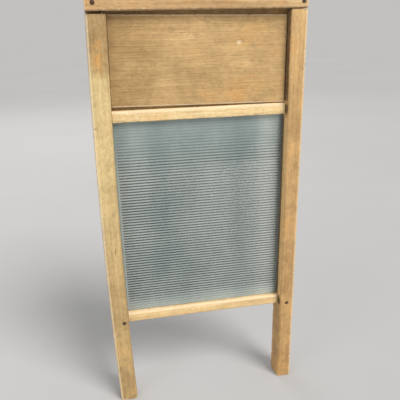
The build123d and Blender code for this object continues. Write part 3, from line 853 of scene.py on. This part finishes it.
def material(name):
    """An empty node material: its tree and its Principled shader."""
    made = bpy.data.materials.new(name)
    made.use_nodes = True
    made.node_tree.nodes.clear()
    shader = add(made.node_tree, "BsdfPrincipled")
    out = add(made.node_tree, "OutputMaterial")
    made.node_tree.links.new(shader.outputs[0], out.inputs[0])
    return made, made.node_tree, shader


def masked(tree, name):
    """A point attribute of the surface."""
    return add(tree, "Attribute", attribute_type="GEOMETRY", attribute_name=name).outputs["Fac"]


def rgb(red, green, blue):
    """A linear colour from the 0..255 values that a paint chart gives."""
    def linear(value):
        value /= 255
        return value / 12.92 if value <= 0.04045 else ((value + 0.055) / 1.055) ** 2.4
    return (linear(red), linear(green), linear(blue), 1.0)


def wood(name, upright, honey, pale, amber, pith, ring_pitch, ring_depth, shift, figure, wander=0.010):
    """Old dry wood: honey to pale by the tone mask, amber by the warm mask, with rings, fibres and wear.

    upright wood has its grain along Z, the rest along X. ring_depth is how much darker late wood is, and
    figure how strongly streaks and fibres show.
    """
    made, tree, shader = material(name)
    place = add(tree, "TexCoord").outputs["Object"]
    turn = (0, pi / 2, 0) if upright else (0, 0, 0)
    along = add(tree, "Mapping", {"Vector": place, "Rotation": turn, "Location": shift}).outputs[0]
    grain = placed(tree, GRAIN, {"Vector": along, "Ring Pitch": ring_pitch, "Wander": wander,
                                 "Pith Depth": pith[0], "Pith Height": pith[1]})
    clouds = placed(tree, PATCHES, {"Vector": place, "Scale": 34.0, "Cut": 0.56, "Softness": 0.09})
    stains = placed(tree, PATCHES, {"Vector": along, "Scale": 95.0, "Cut": 0.66, "Softness": 0.035})
    wear = placed(tree, WEAR_AND_HIGHLIGHT, {"Vector": place, "Edge": masked(tree, "edge"), "Amount": 0.75})["Mask"]
    dirt_and_shade_feeds = {"Vector": place, "Dirt And Shade": masked(tree, "dirt_and_shade"), "Amount": 0.85, "Film": 0.16}
    grime_and_shade = placed(tree, GRIME_AND_SHADE, dirt_and_shade_feeds)["Mask"]
    uneven = span(tree, clouds["Cloud"], 0.3, 0.7, -0.2, 0.2)
    tone = plus(tree, masked(tree, "tone"), uneven, clamp=True)
    colour = blend(tree, tone, honey, pale)
    colour = blend(tree, times(tree, masked(tree, "warm"), clouds["Mask"]), colour, amber)
    streak = span(tree, grain["Streak"], 0.3, 0.7, 1 - 0.12 * figure, 1 + 0.09 * figure)
    fibre = span(tree, grain["Fibre"], 0.25, 0.75, 1 - 0.12 * figure, 1 + 0.09 * figure)
    mottle = texture(tree, stretched(tree, along, (0.5, 1, 1)), 520.0, 3.0, 0.65)
    fibre = times(tree, fibre, span(tree, mottle, 0.3, 0.7, 0.91, 1.08))
    late = calc(tree, "SUBTRACT", 1.0, times(tree, grain["Rings"], ring_depth))
    shade = times(tree, times(tree, streak, fibre), late)
    channels = {0: shade, 1: calc(tree, "POWER", shade, 1.12), 2: calc(tree, "POWER", shade, 1.3)}
    colour = blend(tree, 1.0, colour, add(tree, "CombineColor", channels).outputs[0], "MULTIPLY")
    colour = blend(tree, times(tree, stains["Mask"], 0.22), colour, rgb(122, 92, 60))
    colour = blend(tree, times(tree, grain["Flecks"], 0.30), colour, rgb(94, 68, 44))
    # Pale where edges are rubbed; on the splash panel's field edges this is partly a painted highlight.
    colour = blend(tree, times(tree, wear, 0.7), colour, rgb(234, 214, 182))
    # Dark brown where soiling has settled and where shade is painted into the colour.
    colour = blend(tree, grime_and_shade, colour, rgb(74, 56, 40))
    rough = span(tree, grain["Fibre"], 0.3, 0.7, 0.56, 0.74)
    rough = plus(tree, rough, times(tree, wear, -0.10))
    rough = plus(tree, rough, times(tree, grime_and_shade, 0.15), clamp=True)
    height = calc(tree, "SUBTRACT", grain["Height"], times(tree, stains["Mask"], 0.10))
    bump = add(tree, "Bump", {"Height": height, "Strength": 0.55, "Distance": 0.35 * MM})
    feed(tree, shader, {"Base Color": colour, "Roughness": rough, "Normal": bump.outputs[0],
                        "Specular IOR Level": 0.32})
    return made


def ribbed_glass(name):
    """Old pressed glass, blue-green grey, a little rougher in the valleys. Its colour carries painted shade
    in the valleys between the ribs and along its ends, and painted reflections in vertical bands.
    """
    made, tree, shader = material(name)
    place = add(tree, "TexCoord").outputs["Object"]
    clouds = placed(tree, PATCHES, {"Vector": place, "Scale": 16.0, "Cut": 0.52, "Softness": 0.12})
    specks = placed(tree, PATCHES, {"Vector": place, "Scale": 420.0, "Cut": 0.74, "Softness": 0.03})
    painted_valley_shade = masked(tree, "painted_valley_shade")
    # Lighter where the cloud noise and the painted reflections are strong.
    film = times(tree, clouds["Cloud"], 0.4)
    film = plus(tree, film, times(tree, masked(tree, "painted_reflection_and_shade"), 0.7))
    colour = blend(tree, span(tree, film, 0.2, 0.95), rgb(150, 165, 164), rgb(222, 229, 221))
    # Painted shade: the valleys between the ribs go dark.
    colour = blend(tree, times(tree, painted_valley_shade, 0.96), colour, rgb(24, 38, 42))
    colour = blend(tree, times(tree, masked(tree, "shade"), 0.75), colour, rgb(84, 88, 80))
    colour = blend(tree, times(tree, specks["Mask"], 0.4), colour, rgb(214, 216, 204))
    rough = span(tree, clouds["Cloud"], 0.35, 0.65, 0.18, 0.27)
    rough = plus(tree, rough, times(tree, painted_valley_shade, 0.06))
    rough = plus(tree, rough, times(tree, specks["Mask"], 0.2))
    ripple = texture(tree, stretched(tree, place, (1, 1, 0.6)), 60.0, 2.0)
    bump = add(tree, "Bump", {"Height": ripple, "Strength": 0.05, "Distance": 0.5 * MM})
    feed(tree, shader, {"Base Color": colour, "Roughness": rough, "Normal": bump.outputs[0], "IOR": 1.5,
                        "Transmission Weight": 0.38})
    return made


def old_nail(name):
    """Bare wire nails gone brown: dark iron under patches of rust."""
    made, tree, shader = material(name)
    place = add(tree, "TexCoord").outputs["Object"]
    rust = placed(tree, PATCHES, {"Vector": place, "Scale": 900.0, "Cut": 0.47, "Softness": 0.08})
    colour = blend(tree, rust["Mask"], rgb(78, 72, 66), rgb(84, 52, 34))
    colour = blend(tree, span(tree, rust["Cloud"], 0.6, 0.8), colour, rgb(128, 80, 48))
    bump = add(tree, "Bump", {"Height": rust["Cloud"], "Strength": 0.6, "Distance": 0.15 * MM})
    feed(tree, shader, {"Base Color": colour, "Metallic": span(tree, rust["Mask"], 0.0, 1.0, 0.8, 0.1),
                        "Roughness": span(tree, rust["Cloud"], 0.3, 0.7, 0.42, 0.85),
                        "Normal": bump.outputs[0]})
    return made


# ---------------------------------------------------------------- the washboard
LEFT_WOOD = wood("left_stile_wood", True, rgb(164, 134, 90), rgb(217, 193, 139), rgb(208, 154, 84),
                 (0.075, -0.03), 4.2 * MM, 0.06, (0.0, 0.0, 0.0), 0.55)
RIGHT_WOOD = wood("right_stile_wood", True, rgb(170, 134, 88), rgb(230, 192, 134), rgb(206, 150, 84),
                  (0.065, 0.05), 3.6 * MM, 0.05, (0.31, 0.0, 0.0), 0.55)
CAP_WOOD = wood("cap_rail_wood", False, rgb(182, 145, 98), rgb(220, 187, 138), rgb(192, 138, 80),
                (0.05, 0.40), 3.4 * MM, 0.09, (0.57, 0.0, 0.0), 0.9)
RAIL_WOOD = wood("rail_wood", False, rgb(204, 166, 114), rgb(240, 214, 162), rgb(210, 156, 92),
                 (0.07, 0.31), 3.9 * MM, 0.08, (0.83, 0.0, 0.0), 0.8)
PANEL_WOOD = wood("splash_panel_wood", False, rgb(172, 140, 92), rgb(216, 181, 128), rgb(206, 152, 88),
                  (0.004, 0.62), 2.7 * MM, 0.06, (1.27, 0.0, 0.0), 0.7, wander=0.009)
GLASS = ribbed_glass("rubbing_glass")
STEEL = old_nail("rusted_wire")

MIDDLE_TENON, BOTTOM_TENON = STILE_GROOVE_DEPTH - TONGUE_END_PLAY, MORTISE_DEPTH - TONGUE_END_PLAY
stands_for(stile("left_stile_worn", True), "left_stile", LEFT_WOOD)
stands_for(stile("right_stile_worn", False), "right_stile", RIGHT_WOOD)
stands_for(cap("cap_rail_worn"), "cap_rail", CAP_WOOD)
stands_for(rail("middle_rail_worn", MIDDLE_LOW[2], MIDDLE_HIGH[2], MIDDLE_TENON, True, 600),
           "middle_rail", RAIL_WOOD)
stands_for(rail("bottom_rail_worn", BOTTOM_LOW[2], BOTTOM_HIGH[2], BOTTOM_TENON, False, 660),
           "bottom_rail", RAIL_WOOD)
stands_for(panel("splash_panel"), "upper_panel", PANEL_WOOD)
stands_for(plate("ribbed_glass_plate"), "rubbing_plate", GLASS)
stands_for(nails("cap_wire_nails", CAP_NAILS, 5), "cap_nails", STEEL)
stands_for(nails("rail_wire_nails", RAIL_NAILS, 9), "bottom_rail_nails", STEEL)


# ---------------------------------------------------------------- floor, light and camera
def floor(reach=60.0):
    """A large plain pale floor at the feet's height, reach metres each way."""
    mesh = bpy.data.meshes.new("floor")
    corners = [(-reach, -reach, 0), (reach, -reach, 0), (reach, reach, 0), (-reach, reach, 0)]
    mesh.from_pydata(corners, [], [(0, 1, 2, 3)])
    made, tree, shader = material("pale_floor")
    place = add(tree, "TexCoord").outputs["Object"]
    clouds = placed(tree, PATCHES, {"Vector": place, "Scale": 1.4, "Cut": 0.5, "Softness": 0.3})
    colour = blend(tree, clouds["Cloud"], rgb(175, 175, 176), rgb(183, 184, 185))
    feed(tree, shader, {"Base Color": colour, "Roughness": 0.8, "Specular IOR Level": 0.1})
    mesh.materials.append(made)
    put("floor", mesh)


def soft_light(name, place, size, power, colour):
    """A square area light aimed at the middle of the board."""
    data = bpy.data.lights.new(name, "AREA")
    data.shape, data.size, data.energy, data.color = "SQUARE", size, power, colour
    lamp = put(name, data)
    lamp.location = place
    lamp.rotation_euler = (Vector((0, 0, 0.25)) - Vector(place)).to_track_quat("-Z", "Y").to_euler()


def camera(place, azimuth, elevation, roll, lens):
    """The camera: azimuth 0 looks along +Y, elevation is above the horizon, roll tips its right side down."""
    a, e, r = radians(azimuth), radians(elevation), radians(roll)
    back = Vector((sin(a) * cos(e), -cos(a) * cos(e), sin(e)))
    level = Vector((cos(a), sin(a), 0))
    upright = back.cross(level)
    right = level * cos(r) - upright * sin(r)
    up = back.cross(right)
    data = bpy.data.cameras.new("viewing_camera")
    data.lens, data.sensor_width = lens, 36.0
    data.clip_start, data.clip_end = 0.01, 100.0
    made = put("viewing_camera", data)
    made.matrix_world = Matrix.Translation(place) @ Matrix((right, up, back)).transposed().to_4x4()
    bpy.context.scene.camera = made


floor()
world = bpy.data.worlds.new("soft_room")
bpy.context.scene.world = world
world.use_nodes = True
sky = world.node_tree.nodes["Background"]
sky.inputs["Color"].default_value = (1.0, 0.985, 0.97, 1.0)
sky.inputs["Strength"].default_value = 0.54
sun = bpy.data.lights.new("key", "SUN")
sun.energy, sun.angle, sun.color = 2.8, radians(28), (1.0, 0.97, 0.93)
put("key", sun).rotation_euler = Vector((0.42, -0.66, 0.85)).to_track_quat("Z", "Y").to_euler()
soft_light("fill", (-1.6, -1.2, 0.9), 1.2, 9.0, (0.95, 0.98, 1.0))
soft_light("back", (-0.5, 1.9, 1.5), 1.2, 10.0, (1.0, 0.98, 0.95))
bpy.context.scene.view_settings.view_transform = "Standard"
camera((-0.0936, -0.4903, 0.4296), -10.67, 19.93, 1.29, 42.98)
